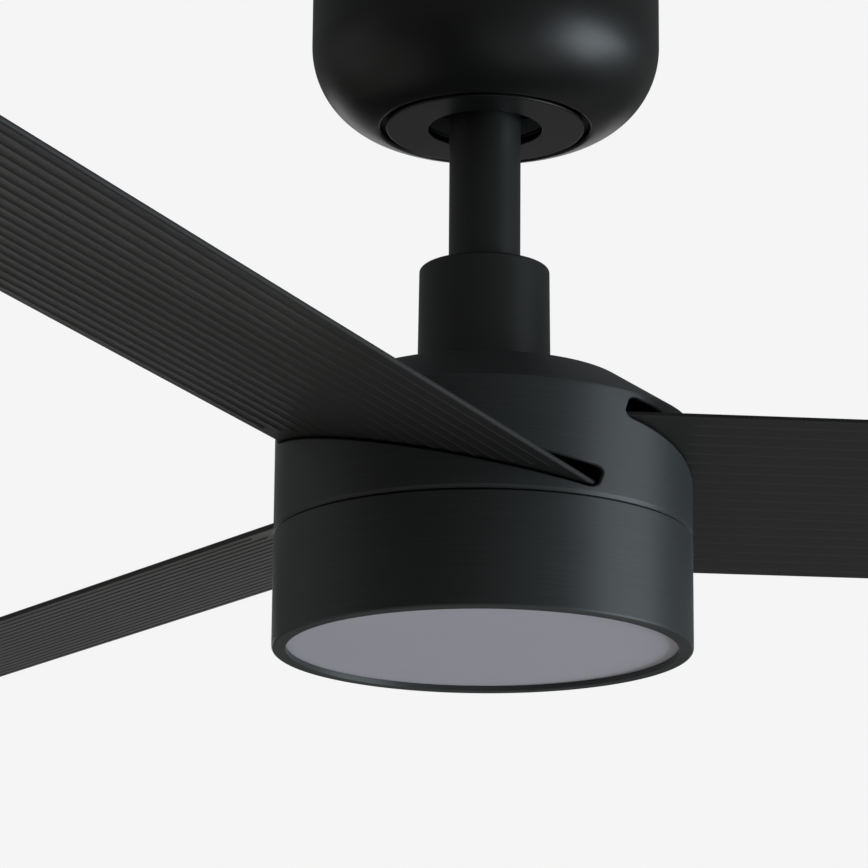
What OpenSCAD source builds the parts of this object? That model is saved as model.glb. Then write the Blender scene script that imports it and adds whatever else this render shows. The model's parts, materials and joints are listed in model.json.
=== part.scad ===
// Three-blade ceiling fan with a flat round light.
// Millimetres, +Z up. The origin is the middle of the ceiling face, so everything hangs below z = 0.

/* [Overall] */
// Drop from the ceiling to the bottom of the light
drop = 302; // [300:1:330]
// Diameter of the circle that the blade tips sweep
span = 1320; // [1000:10:1500]
// Radius of both housings
drum_r = 86; // [86:0.5:90]

/* [Canopy] */
// Outer radius of the canopy
canopy_r = 73.5; // [72:0.5:80]
// Height of the canopy
canopy_h = 78; // [78:1:84]
// Radius of the large round corner of the canopy
canopy_corner_r = 37; // [34:0.5:38]
// Sheet thickness of the canopy
canopy_t = 1.4; // [1:0.1:2]
// Radius of the recess that takes the cover ring
recess_r = 44.3; // [43:0.1:45]
// Outer radius of the cover ring
cover_r = 41.8; // [40:0.1:42]
// Radius of the hole in the cover ring that the rod swings in
cover_hole_r = 24; // [22:0.5:25]

/* [Hanger] */
// Radius of the hanger ball
ball_r = 27; // [26:0.5:28]
// Depth of the ball centre below the ceiling
ball_depth = 46; // [45:0.5:48]
// Outer radius of the down rod
rod_r = 15; // [14.5:0.1:15.2]
// Wall thickness of the down rod
rod_wall = 2; // [1.5:0.1:2.5]

/* [Coupling cover] */
// Outer radius at the top of the coupling cover
collar_top_r = 27.2; // [26.5:0.1:28]
// Outer radius at the bottom of the coupling cover
collar_base_r = 27.7; // [27:0.1:28.5]
// Height of the coupling cover
collar_h = 50.8; // [48:0.2:52]

/* [Upper housing] */
// Height of the rounded rim above the bottom of the light
rim_h = 94; // [93.5:0.5:96]
// Height of the flat top above the bottom of the light
top_h = 110.8; // [110.5:0.1:113]
// Radius of the flat top, where the sloping shoulder ends
top_r = 59; // [55:0.5:62]
// Wall thickness of both housings
housing_t = 2; // [1.6:0.1:2.2]
// Gap between the turning upper housing and the fixed light housing
seam_gap = 0.8; // [0.7:0.1:1.2]

/* [Blades] */
// Width of a blade
blade_w = 141; // [130:1:141]
// Thickness of a blade between its ribs
blade_t = 2.2; // [2:0.1:2.4]
// Pitch of the blades in degrees
pitch = 12.8; // [11:0.1:13]
// Height of the blade underside on the spin axis, above the bottom of the light
blade_h = 67.3; // [67:0.1:68]
// Radius of the blade tip corners
tip_corner_r = 24; // [10:1:40]
// Height of the ribs under a blade
rib_h = 0.6; // [0.4:0.1:0.8]

/* [Light] */
// Height of the light housing
light_h = 46.5; // [46:0.1:47]
// Inner radius of the bottom lip
lip_r = 80.1; // [79:0.1:81]
// Depth from the bottom of the lip to the diffuser
lip_h = 2.3; // [2:0.1:2.6]
// Thickness of the diffuser
diffuser_t = 2.5; // [2:0.1:3]

/* [Hidden] */
$fn = 96;

// Clearance between pieces that are assembled by hand, and a small overrun for cuts
fit = 0.05;
cut = 1;
blade_count = 3;

// Hanger and canopy
ball_z = -ball_depth;
plate_t = 2.5;
plate_x = 112;
plate_y = 44;
leg_x = 36.5;
leg_w = 36;
seat_z = ball_z - 12;
seat_h = 8;
flange_z = -canopy_h + 4.6;
cover_t = 1.2;
cover_z = -canopy_h + 0.8;
canopy_screw_x = 33;
slot_spacing = 89;
slot_r = 2.6;
slot_length = 10;
wire_hole_r = 6;
wire_hole_y = 13;
receiver = [60, 22, 16];
receiver_y = -19;
terminal = [11, 30, 13];
terminal_z = -34;
pin_r = 3;
pin_z = ball_z;
screw_r = 2;
rod_top_z = ball_z + 12;
rod_length = 140;

// Motor shaft and its coupling, as heights above the bottom of the light
shaft_r = 8.5;
shaft_bore_r = 6;
shaft_base_h = 24;
shaft_top_h = 127;
shoulder_r = 11;
shoulder_h = 3.6;
coupling_r = 20;
coupling_base_h = 118;
coupling_top_h = 158;
coupling_floor_h = 128;
clevis_h = 145;
set_screw_h = 135;
collar_base_h = 111.8;
collar_t = 1.5;

// Motor, as heights above the bottom of the light
can_r = 43;
can_bore_r = 40.2;
can_base_h = 55;
can_top_h = 92;
disc_t = 3;
boss_r = 21;
bearing_bore_r = shaft_r + 0.02;
bearing_r = 17.5;
bearing_w = 10;
bearing_pitch_r = 13;
bearing_ball_r = 2.4;
bearing_ball_count = 9;
lower_bearing_h = 50;
upper_bearing_h = 88;
stator_base_h = 64;
stator_h = 20;
stator_r = 36.4;
tooth_count = 12;
tooth_w = 6;
magnet_r = 37;
magnet_count = 12;
post_circle_r = 33;

// Blade roots: local x runs outwards, and the high edge is at negative y
root_x = 44.5;
notch_x = 50.5;
notch_half_w = 24;
rib_count = 17;
rib_spacing = 8;
pad_end_x = 76;
rib_start_x = pad_end_x + 1;
pad_half_w = 26;
pad_t = 4;
slot_below = 0.9;
slot_above = 6.1;
slot_side = 2.2;
slot_corner_r = 3.6;
blade_screw_places = [[58, -18], [58, 18], [70, 0]];
holder_screw_h = 81;
holder_screw_y = 10;

// Light
mount_plate_r = 64;
seam_rim_r = 82.2;
seam_rim_h = 3.4;
mount_plate_h = light_h - 2 * housing_t;
board_h = 18;
board_t = 1.6;
board_r = 74;
standoff_circle_r = 56;
drive_board = [56, 30];
drive_board_y = -36;
board_gap = 9;
driver = [60, 24, 15];
wire_r = 1.1;
earth_y = 12;
earth_z = -66;
wire_places = [[-1.4, -4.3], [1.4, -4.3], [-1.4, 4.3], [1.4, 4.3]];

// Height above the bottom of the light as a z value
function lift(h) = h - drop;
// Points along an arc of radius r about c, from angle a to angle b in n steps
function arc(c, r, a, b, n) =
    [for (i = [0:n]) [c[0] + r * cos(a + (b - a) * i / n), c[1] + r * sin(a + (b - a) * i / n)]];

// A ring between two radii
module ring(r_out, r_in, h) {
    difference() {
        cylinder(r = r_out, h = h);
        translate([0, 0, -cut]) cylinder(r = r_in, h = h + 2 * cut);
    }
}

// A pan-head screw: the shank runs up from z = 0 and the head hangs below it
module screw(r, length, head_r, head_h) {
    difference() {
        union() {
            translate([0, 0, -head_h * 0.3]) cylinder(r = r, h = length + head_h * 0.3);
            translate([0, 0, -head_h]) cylinder(r = head_r, h = head_h);
        }
        translate([0, 0, -head_h - cut]) cylinder(r = head_r * 0.5, h = head_h * 0.6 + cut, $fn = 6);
    }
}

// Children repeated at equal angles about Z
module around(count, start = 0) {
    for (i = [0:count - 1]) rotate([0, 0, start + i * 360 / count]) children();
}

// The place of blade i: origin on the spin axis, x outwards, pitched about x
module blade_frame(i) {
    rotate([0, 0, i * 360 / blade_count]) translate([0, 0, lift(blade_h)]) rotate([-pitch, 0, 0]) children();
}

// ---------- Fixed to the ceiling ----------

module bracket_leg(side) {
    x = side > 0 ? leg_x : -leg_x - plate_t;
    foot_x = side > 0 ? leg_x - 9 : -leg_x - plate_t;
    translate([x, -leg_w / 2, flange_z + canopy_t]) cube([plate_t, leg_w, -flange_z - canopy_t - 0.5]);
    translate([foot_x, -10, flange_z + canopy_t]) cube([plate_t + 9, 20, plate_t]);
}

module ceiling_slot(x) {
    half = slot_length / 2 - slot_r;
    translate([x - half, -slot_r, -plate_t - cut]) cube([2 * half, 2 * slot_r, plate_t + 2 * cut]);
    for (s = [-1, 1]) translate([x + s * half, 0, -plate_t - cut]) cylinder(r = slot_r, h = plate_t + 2 * cut);
}

// Pressed steel bracket: ceiling plate, two legs and two feet for the canopy
module hanger_bracket() {
    color("gainsboro") difference() {
        union() {
            translate([-plate_x / 2, -plate_y / 2, -plate_t]) cube([plate_x, plate_y, plate_t]);
            for (s = [-1, 1]) bracket_leg(s);
        }
        for (s = [-1, 1]) {
            ceiling_slot(s * slot_spacing / 2);
            translate([s * canopy_screw_x, 0, flange_z]) cylinder(r = screw_r + fit, h = 6);
            translate([s * (leg_x - cut), 0, seat_z]) rotate([0, s * 90, 0])
                cylinder(r = screw_r + fit, h = plate_t + 2 * cut);
        }
        translate([0, wire_hole_y, -plate_t - cut]) cylinder(r = wire_hole_r, h = plate_t + 2 * cut);
    }
}

// Socket that the ball rests and swings in
module ball_seat() {
    color("dimgray") difference() {
        union() {
            translate([0, 0, seat_z - seat_h / 2]) cylinder(r = 33, h = seat_h);
            translate([-leg_x + fit, -8, seat_z - seat_h / 2]) cube([2 * leg_x - 2 * fit, 16, seat_h]);
        }
        translate([0, 0, ball_z]) sphere(r = ball_r + fit);
        translate([0, 0, seat_z - seat_h]) cylinder(r = 21.8, h = seat_h);
        for (s = [-1, 1]) translate([s * 28, 0, seat_z]) rotate([0, s * 90, 0])
            cylinder(r = screw_r + fit, h = 10);
    }
}

module seat_screws() {
    color("silver") for (s = [-1, 1]) translate([s * (leg_x + plate_t), 0, seat_z]) rotate([0, -s * 90, 0])
        screw(screw_r, 9, 3.6, 2);
}

// Outline of the canopy sheet: straight side, large round corner, recess and inner flange
function canopy_outline() = let (
        corner = [canopy_r - canopy_corner_r, -canopy_h + canopy_corner_r],
        outer_end = acos((recess_r - corner[0]) / canopy_corner_r),
        inner_end = acos((recess_r + canopy_t - corner[0]) / (canopy_corner_r - canopy_t)))
    concat(
        [[canopy_r, 0]],
        arc(corner, canopy_corner_r, 0, -outer_end, 20),
        [[recess_r, flange_z], [cover_hole_r + 1.5, flange_z], [cover_hole_r + 1.5, flange_z + canopy_t]],
        [[recess_r + canopy_t, flange_z + canopy_t]],
        arc(corner, canopy_corner_r - canopy_t, -inner_end, 0, 20),
        [[canopy_r - canopy_t, 0]]);

module canopy() {
    color("#1c1d20") difference() {
        rotate_extrude() polygon(canopy_outline());
        for (s = [-1, 1]) translate([s * canopy_screw_x, 0, flange_z - cut]) cylinder(r = screw_r + 0.2, h = 4);
        around(blade_count, 90) translate([canopy_screw_x, 0, flange_z - cut]) cylinder(r = 2.2, h = 4);
    }
}

module canopy_screws() {
    color("silver") for (s = [-1, 1]) translate([s * canopy_screw_x, 0, flange_z]) screw(screw_r, 5.4, 3.6, 1.9);
}

// Flat ring that snaps into the recess and hides the canopy screws
module canopy_cover() {
    color("#1c1d20") translate([0, 0, cover_z]) {
        rotate_extrude() polygon([[cover_hole_r, 0.3], [cover_hole_r + 0.3, 0], [cover_r - 0.7, 0],
            [cover_r, 0.7], [cover_r, cover_t], [cover_hole_r, cover_t]]);
        around(blade_count, 90) translate([canopy_screw_x, 0, cover_t - 0.1]) cylinder(r = 2, h = 4.4);
    }
}

// Remote-control receiver under the ceiling plate
module receiver_box() {
    color("whitesmoke") translate([-receiver[0] / 2, receiver_y, -plate_t - receiver[2]]) difference() {
        cube(receiver);
        for (x = [6, receiver[0] - 8]) translate([x, 5, -cut]) cube([2, 12, 2 * cut]);
    }
}

// Terminal block on the outer side of one leg, with a screw well for each wire
module terminal_block() {
    color("ivory") translate([leg_x + plate_t, -terminal[1] / 2, terminal_z]) difference() {
        cube(terminal);
        for (y = [-10, 0, 10]) translate([6, terminal[1] / 2 + y, terminal[2] - 4]) cylinder(r = 2.2, h = 5);
    }
}

// Earth lead along the other leg, from under the ceiling plate down to its ring terminal
module earth_lead() {
    leg_face = -leg_x - plate_t;
    color("yellowgreen") {
        translate([leg_face - wire_r, earth_y, earth_z]) cylinder(r = wire_r, h = -earth_z - plate_t - 0.5);
        translate([leg_face - 0.8, earth_y, earth_z]) rotate([0, 90, 0]) cylinder(r = 3, h = 0.8);
    }
}

// ---------- Hanging from the ball ----------

module hanger_ball() {
    color("darkgray") difference() {
        translate([0, 0, ball_z]) sphere(r = ball_r);
        translate([0, 0, ball_z - ball_r]) cylinder(r = rod_r + fit, h = 2 * ball_r);
        translate([-ball_r, -ball_r, ball_z + 13]) cube(2 * ball_r);
        translate([-ball_r, -ball_r, ball_z - 18 - 2 * ball_r]) cube(2 * ball_r);
        translate([-ball_r, 0, pin_z]) rotate([0, 90, 0]) cylinder(r = pin_r + fit, h = 2 * ball_r);
        translate([0, -rod_r, ball_z - 4]) rotate([90, 0, 0]) cylinder(r = screw_r + fit, h = ball_r);
    }
}

module cross_pin() {
    color("silver") translate([-22, 0, pin_z]) rotate([0, 90, 0]) cylinder(r = pin_r, h = 44);
}

module ball_set_screw() {
    color("dimgray") difference() {
        translate([0, -rod_r - 0.1, ball_z - 4]) rotate([90, 0, 0]) cylinder(r = screw_r, h = 10);
        translate([0, -rod_r - 8, ball_z - 4]) rotate([90, 0, 0]) cylinder(r = 1.1, h = 4, $fn = 6);
    }
}

module downrod() {
    color("#232427") difference() {
        translate([0, 0, rod_top_z - rod_length]) ring(rod_r, rod_r - rod_wall, rod_length);
        for (z = [pin_z, lift(clevis_h)]) translate([-rod_r - cut, 0, z]) rotate([0, 90, 0])
            cylinder(r = pin_r + fit, h = 2 * rod_r + 2 * cut);
    }
}

// Slightly conical cup over the coupling
module coupling_cover() {
    edge = 1.4;
    color("#232427") translate([0, 0, lift(collar_base_h)]) rotate_extrude() polygon(concat(
        [[collar_base_r - collar_t, 0], [collar_base_r, 0]],
        arc([collar_top_r - edge, collar_h - edge], edge, 0, 90, 6),
        [[rod_r + 0.4, collar_h], [rod_r + 0.4, collar_h - collar_t]],
        [[collar_top_r - collar_t, collar_h - collar_t]]));
}

module cover_grommet() {
    color("black") translate([0, 0, lift(collar_base_h + collar_h - collar_t - 2.6)])
        ring(rod_r + 2.6, rod_r + 0.02, 2.6);
}

// Cast coupling that joins the rod to the motor shaft
module motor_coupling() {
    color("gray") difference() {
        translate([0, 0, lift(coupling_base_h)]) cylinder(r = coupling_r, h = coupling_top_h - coupling_base_h);
        translate([0, 0, lift(coupling_base_h) - cut]) cylinder(r = shaft_r + fit, h = 30);
        translate([0, 0, lift(coupling_floor_h)]) cylinder(r = rod_r + fit, h = 40);
        translate([-coupling_r - cut, 0, lift(clevis_h)]) rotate([0, 90, 0])
            cylinder(r = pin_r + fit, h = 2 * coupling_r + 2 * cut);
        translate([0, coupling_r + cut, lift(set_screw_h)]) rotate([90, 0, 0])
            cylinder(r = screw_r + 0.5 + fit, h = 2 * coupling_r + 2 * cut);
    }
}

module clevis_pin() {
    color("silver") translate([-coupling_r - 0.1, 0, lift(clevis_h)]) rotate([0, 90, 0]) {
        translate([0, 0, -1.5]) cylinder(r = pin_r + 1.2, h = 1.5);
        cylinder(r = pin_r, h = 2 * coupling_r + 3.6);
    }
}

module pin_clip() {
    color("goldenrod") translate([coupling_r + 1.6, 0, lift(clevis_h)]) rotate([0, 90, 0])
        rotate_extrude(angle = 300) translate([pin_r + 0.75, 0]) circle(r = 0.7, $fn = 24);
}

module coupling_set_screws() {
    color("dimgray") for (s = [-1, 1]) difference() {
        translate([0, s * (rod_r + 0.1), lift(set_screw_h)]) rotate([-s * 90, 0, 0]) cylinder(r = 2.5, h = 6);
        translate([0, s * (rod_r + 4), lift(set_screw_h)]) rotate([-s * 90, 0, 0])
            cylinder(r = 1.3, h = 4, $fn = 6);
    }
}

// Hollow fixed shaft that carries the motor and the light
module motor_shaft() {
    color("silver") difference() {
        union() {
            translate([0, 0, lift(shaft_base_h)]) cylinder(r = shaft_r, h = shaft_top_h - shaft_base_h);
            translate([0, 0, lift(light_h - housing_t)]) cylinder(r = shoulder_r, h = shoulder_h);
        }
        translate([0, 0, lift(shaft_base_h) - cut]) cylinder(r = shaft_bore_r, h = 120);
        for (h = [lower_bearing_h - 1.2, upper_bearing_h + bearing_w])
            translate([0, 0, lift(h)]) ring(shaft_r + cut, shaft_r - 0.5, 1.2);
    }
}

module stator_core() {
    color("slategray") translate([0, 0, lift(stator_base_h)]) difference() {
        union() {
            cylinder(r = 20, h = stator_h);
            around(tooth_count) translate([18, -tooth_w / 2, 0]) cube([17, tooth_w, stator_h]);
            around(tooth_count, -12) rotate_extrude(angle = 24) translate([33.6, 0])
                square([stator_r - 33.6, stator_h]);
        }
        translate([0, 0, -cut]) cylinder(r = shaft_r + 0.02, h = stator_h + 2 * cut);
    }
}

module stator_windings() {
    coil_w = 11;
    color("chocolate") translate([0, 0, lift(stator_base_h)]) around(tooth_count) difference() {
        translate([22.2, -coil_w / 2, -1.5]) cube([11, coil_w, stator_h + 3]);
        translate([20, -tooth_w / 2 - fit, -fit]) cube([16, tooth_w + 2 * fit, stator_h + 2 * fit]);
    }
}

// Inner and outer rings, balls and cage of one ball bearing, with its lower face at z = 0
module inner_race() {
    color("silver") difference() {
        ring(11.2, bearing_bore_r, bearing_w);
        translate([0, 0, bearing_w / 2]) rotate_extrude() translate([bearing_pitch_r, 0])
            circle(r = bearing_ball_r + fit, $fn = 48);
    }
}

module outer_race() {
    color("silver") difference() {
        ring(bearing_r, 14.8, bearing_w);
        translate([0, 0, bearing_w / 2]) rotate_extrude() translate([bearing_pitch_r, 0])
            circle(r = bearing_ball_r + fit, $fn = 48);
    }
}

module bearing_balls() {
    color("lightsteelblue") around(bearing_ball_count) translate([bearing_pitch_r, 0, bearing_w / 2])
        sphere(r = bearing_ball_r, $fn = 32);
}

module bearing_cage() {
    color("tan") difference() {
        translate([0, 0, bearing_w / 2 - 2.9]) ring(bearing_pitch_r + 0.7, bearing_pitch_r - 0.7, 5.8);
        around(bearing_ball_count) translate([bearing_pitch_r - 3, 0, bearing_w / 2]) rotate([0, 90, 0])
            cylinder(r = bearing_ball_r + fit, h = 6, $fn = 48);
    }
}

module upper_inner_race() {
    translate([0, 0, lift(upper_bearing_h)]) inner_race();
}

module lower_inner_race() {
    translate([0, 0, lift(lower_bearing_h)]) inner_race();
}

module shaft_spacers() {
    color("darkgray") for (h = [lower_bearing_h + bearing_w, stator_base_h + stator_h])
        translate([0, 0, lift(h)]) ring(10.6, bearing_bore_r, stator_base_h - lower_bearing_h - bearing_w);
}

// Two open snap rings in the grooves of the shaft
module shaft_circlips() {
    color("dimgray") for (h = [lower_bearing_h - 1.15, upper_bearing_h + bearing_w + 0.05])
        translate([0, 0, lift(h)]) rotate_extrude(angle = 320) translate([shaft_r - 0.45, 0]) square([2.2, 1.1]);
}

module light_mount_plate() {
    color("lightgray") translate([0, 0, lift(mount_plate_h)]) difference() {
        ring(mount_plate_r, shaft_r + fit, housing_t);
        around(3) translate([mount_plate_r - 4.5, 0, -cut]) cylinder(r = screw_r + fit, h = housing_t + 2 * cut);
    }
}

module shaft_nut() {
    color("silver") translate([0, 0, lift(mount_plate_h - 6)]) difference() {
        cylinder(r = 14, h = 6, $fn = 6);
        translate([0, 0, -cut]) cylinder(r = shaft_r + 0.02, h = 6 + 2 * cut);
    }
}

// Fixed drum: bottom lip, wall, top flange and the low rim that closes the seam from inside
module light_housing() {
    r_in = drum_r - housing_t;
    edge = 1;
    color("#26282b") translate([0, 0, lift(0)]) difference() {
        rotate_extrude() polygon(concat(
            [[lip_r, 0.3], [lip_r + 0.3, 0]],
            arc([drum_r - edge, edge], edge, -90, 0, 6),
            [[drum_r, light_h - 0.3], [drum_r - 0.3, light_h], [seam_rim_r, light_h]],
            [[seam_rim_r, light_h + seam_rim_h], [seam_rim_r - 1.5, light_h + seam_rim_h]],
            [[seam_rim_r - 1.5, light_h], [mount_plate_r - 9, light_h]],
            [[mount_plate_r - 9, light_h - housing_t], [r_in, light_h - housing_t]],
            [[r_in, lip_h], [lip_r, lip_h]]));
        around(3) translate([mount_plate_r - 4.5, 0, light_h - housing_t - cut])
            cylinder(r = screw_r + fit, h = housing_t + 2 * cut);
    }
}

module light_housing_screws() {
    color("silver") around(3) translate([mount_plate_r - 4.5, 0, lift(mount_plate_h)])
        screw(screw_r, 2 * housing_t - 0.2, 3.6, 1.8);
}

// Motor drive board under the mount plate
module drive_board() {
    spacer = board_gap - board_t;
    color("darkgreen") translate([0, drive_board_y, lift(mount_plate_h) - board_gap]) {
        translate([-drive_board[0] / 2, -drive_board[1] / 2, 0]) cube([drive_board[0], drive_board[1], board_t]);
        for (x = [-24, 24]) for (y = [-11, 11]) translate([x, y, board_t - 0.1])
            cylinder(r = 2.5, h = spacer + 0.1);
        translate([-12, -8, -5]) cube([14, 12, 5.1]);
        translate([8, 3, -8]) cylinder(r = 5, h = 8.1);
        translate([8, -8, -6]) cylinder(r = 4, h = 6.1);
    }
}

module led_driver() {
    color("white") translate([-driver[0] / 2, 20, lift(mount_plate_h) - driver[2]]) difference() {
        cube(driver);
        for (x = [4, driver[0] - 8]) translate([x, 8, -cut]) cube([4, 8, 2 * cut]);
    }
}

module led_board() {
    color("white") translate([0, 0, lift(board_h)]) difference() {
        cylinder(r = board_r, h = board_t);
        around(3, 90) translate([standoff_circle_r, 0, -cut]) cylinder(r = 1.55, h = board_t + 2 * cut);
    }
}

// Two circles of light-emitting chips under the board
module led_chips() {
    chip = 3.6;
    color("khaki") for (row = [[66, 30], [40, 18]]) around(row[1], 5)
        translate([row[0] - chip / 2, -chip / 2, lift(board_h - 0.8)]) cube([chip, chip, 0.8]);
}

module board_standoffs() {
    color("gold") around(3, 90) translate([standoff_circle_r, 0, lift(board_h + board_t)]) difference() {
        cylinder(r = 3, h = mount_plate_h - board_h - board_t);
        translate([0, 0, -cut]) cylinder(r = 1.55, h = 8 + cut);
    }
}

module led_board_screws() {
    color("silver") around(3, 90) translate([standoff_circle_r, 0, lift(board_h)]) screw(1.5, 7, 2.8, 1.4);
}

module diffuser() {
    color("#c9c6d2") translate([0, 0, lift(lip_h)]) cylinder(r = drum_r - housing_t - 0.4, h = diffuser_t);
}

// Spring ring that holds the diffuser down on the lip
module diffuser_ring() {
    color("gray") translate([0, 0, lift(lip_h + diffuser_t)])
        ring(drum_r - housing_t - 0.05, drum_r - housing_t - 4, 3);
}

// Leads from the top of the rod, through the hollow shaft, to the light
module lead_wires() {
    top = ball_z + 20;
    base = lift(shaft_base_h - 3);
    color("firebrick") for (p = wire_places) translate([p[0], p[1], base]) cylinder(r = wire_r, h = top - base);
}

// ---------- Turning with the blades ----------

module rotor_can() {
    color("slategray") difference() {
        translate([0, 0, lift(can_base_h)]) ring(can_r, can_bore_r, can_top_h - can_base_h);
        around(blade_count) for (y = [-1, 1])
            translate([can_bore_r - 6, y * holder_screw_y, lift(holder_screw_h)]) rotate([0, 90, 0])
                cylinder(r = screw_r + fit, h = 12);
        around(3, 60) for (h = [can_base_h - cut, can_top_h - 5])
            translate([can_r - 1.4, 0, lift(h)]) cylinder(r = 0.85, h = 5 + cut);
    }
}

// End cover: a disc on z = 0 with a bearing boss that starts below it, by inset, and ends in a lip
module end_cover(inset) {
    difference() {
        union() {
            ring(can_r, bearing_r, disc_t);
            translate([0, 0, -inset]) cylinder(r = boss_r, h = bearing_w + 1);
        }
        translate([0, 0, -inset - cut]) cylinder(r = bearing_r, h = bearing_w + cut);
        translate([0, 0, -inset]) cylinder(r = 14.5, h = bearing_w + 2);
        around(3, 60) translate([can_r - 1.4, 0, -cut]) cylinder(r = 1.05, h = disc_t + 2 * cut);
    }
}

module rotor_top_cover() {
    color("silver") {
        translate([0, 0, lift(can_top_h)]) end_cover(can_top_h - upper_bearing_h);
        around(3, 60) translate([post_circle_r, 0, lift(can_top_h + disc_t - 0.1)]) difference() {
            cylinder(r = 4, h = top_h - housing_t - can_top_h - disc_t + 0.1);
            translate([0, 0, 4]) cylinder(r = screw_r + fit, h = 20);
        }
    }
}

module rotor_bottom_cover() {
    color("silver") translate([0, 0, lift(can_base_h)]) mirror([0, 0, 1])
        end_cover(lower_bearing_h + bearing_w - can_base_h);
}

module rotor_cover_screws() {
    color("dimgray") around(3, 60) {
        translate([can_r - 1.4, 0, lift(can_base_h - disc_t)]) screw(0.8, 7, 1.4, 1);
        translate([can_r - 1.4, 0, lift(can_top_h + disc_t)]) mirror([0, 0, 1]) screw(0.8, 7, 1.4, 1);
    }
}

module rotor_magnets() {
    color("dimgray") translate([0, 0, lift(stator_base_h - 1)]) around(magnet_count, 2)
        rotate_extrude(angle = 26) translate([magnet_r, 0]) square([can_bore_r - magnet_r - 0.02, stator_h + 2]);
}

module upper_outer_race() {
    translate([0, 0, lift(upper_bearing_h)]) outer_race();
}

module lower_outer_race() {
    translate([0, 0, lift(lower_bearing_h)]) outer_race();
}

// Rounded rectangular tunnel along x that a blade root passes through
module blade_slot() {
    half_w = blade_w / 2 + slot_side;
    low = -slot_below;
    high = blade_t + slot_above;
    r = slot_corner_r;
    x = 30;
    length = drum_r + 10 - x;
    translate([x, -half_w, low + r]) cube([length, 2 * half_w, high - low - 2 * r]);
    translate([x, -half_w + r, low]) cube([length, 2 * (half_w - r), high - low]);
    for (s = [-1, 1]) for (z = [low + r, high - r])
        translate([x, s * (half_w - r), z]) rotate([0, 90, 0]) cylinder(r = r, h = length);
}

// Turning shell: drum wall with a rounded bottom edge, sloping shoulder and flat top
module upper_housing() {
    base = light_h + seam_gap;
    t = housing_t;
    foot = 1.7;
    rim = 1.5;
    slope = atan2(top_h - rim_h, drum_r - rim - top_r);
    color("#26282b") difference() {
        translate([0, 0, lift(0)]) rotate_extrude() polygon(concat(
            [[drum_r - t, base], [drum_r - foot, base]],
            arc([drum_r - foot, base + foot], foot, -90, 0, 8),
            arc([drum_r - rim, rim_h - rim], rim, 0, 90 - slope, 5),
            [[top_r + 0.6, top_h - 0.4], [top_r, top_h], [12, top_h], [12, top_h - t]],
            [[top_r - 0.8, top_h - t], [drum_r - t, rim_h - t]]));
        for (i = [0:blade_count - 1]) blade_frame(i) blade_slot();
        around(3, 60) translate([post_circle_r, 0, lift(top_h - t) - cut])
            cylinder(r = screw_r + 0.1, h = t + 2 * cut);
    }
}

module upper_housing_screws() {
    color("dimgray") around(3, 60) translate([post_circle_r, 0, lift(top_h)]) mirror([0, 0, 1])
        screw(screw_r, 10, 3.6, 1.6);
}

// Angle bracket: a block against the motor can and a pitched pad on top of the blade root
module blade_holder(i) {
    color("darkgray") difference() {
        union() {
            rotate([0, 0, i * 360 / blade_count]) translate([can_r - 6, -16, lift(63)]) cube([12.8, 32, 23]);
            blade_frame(i) translate([root_x + 1, -pad_half_w, blade_t])
                cube([pad_end_x - root_x - 1, 2 * pad_half_w, pad_t]);
        }
        translate([0, 0, lift(can_base_h)]) cylinder(r = can_r + 0.02, h = 40);
        rotate([0, 0, i * 360 / blade_count]) for (s = [-1, 1])
            translate([can_r - 6, s * holder_screw_y, lift(holder_screw_h)]) rotate([0, 90, 0])
                cylinder(r = screw_r + fit, h = 16);
        blade_frame(i) for (p = blade_screw_places) translate([p[0], p[1], -cut])
            cylinder(r = screw_r + fit, h = 9);
    }
}

module blade_holder_1() {
    blade_holder(0);
}

module blade_holder_2() {
    blade_holder(1);
}

module blade_holder_3() {
    blade_holder(2);
}

module holder_screws() {
    color("silver") around(blade_count) for (s = [-1, 1])
        translate([can_r + 6.8, s * holder_screw_y, lift(holder_screw_h)]) rotate([0, -90, 0])
            screw(screw_r, 8.6, 3.4, 2);
}

// Flat blade with rounded tip corners, a notched root and fine ribs along its underside
module blade(i) {
    half = blade_w / 2;
    tip = span / 2;
    r = tip_corner_r;
    color("#2e2d2b") blade_frame(i) difference() {
        union() {
            translate([root_x, -half, 0]) cube([tip - r - root_x, blade_w, blade_t]);
            translate([root_x, -half + r, 0]) cube([tip - root_x, blade_w - 2 * r, blade_t]);
            for (s = [-1, 1]) translate([tip - r, s * (half - r), 0]) cylinder(r = r, h = blade_t);
            for (n = [0:rib_count - 1]) translate([rib_start_x, (n - (rib_count - 1) / 2) * rib_spacing, 0])
                blade_rib(tip - rib_start_x - r);
        }
        translate([root_x - cut, -notch_half_w, -cut])
            cube([notch_x - root_x + cut, 2 * notch_half_w, blade_t + 2 * cut]);
        for (p = blade_screw_places) translate([p[0], p[1], -cut]) cylinder(r = screw_r + fit, h = 6);
    }
}

// One rib: a low trapezium that hangs under the blade
module blade_rib(length) {
    rotate([90, 0, 90]) linear_extrude(height = length)
        polygon([[-0.9, 0.1], [-0.9, 0], [-0.35, -rib_h], [0.35, -rib_h], [0.9, 0], [0.9, 0.1]]);
}

module blade_1() {
    blade(0);
}

module blade_2() {
    blade(1);
}

module blade_3() {
    blade(2);
}

module blade_screws() {
    color("silver") for (i = [0:blade_count - 1]) blade_frame(i) for (p = blade_screw_places)
        translate([p[0], p[1], 0]) screw(screw_r, blade_t + pad_t - 0.1, 3.6, 1.8);
}

// ---------- Turning between the races ----------

module upper_bearing_balls() {
    translate([0, 0, lift(upper_bearing_h)]) bearing_balls();
}

module upper_bearing_cage() {
    translate([0, 0, lift(upper_bearing_h)]) bearing_cage();
}

module lower_bearing_balls() {
    translate([0, 0, lift(lower_bearing_h)]) bearing_balls();
}

module lower_bearing_cage() {
    translate([0, 0, lift(lower_bearing_h)]) bearing_cage();
}

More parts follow.
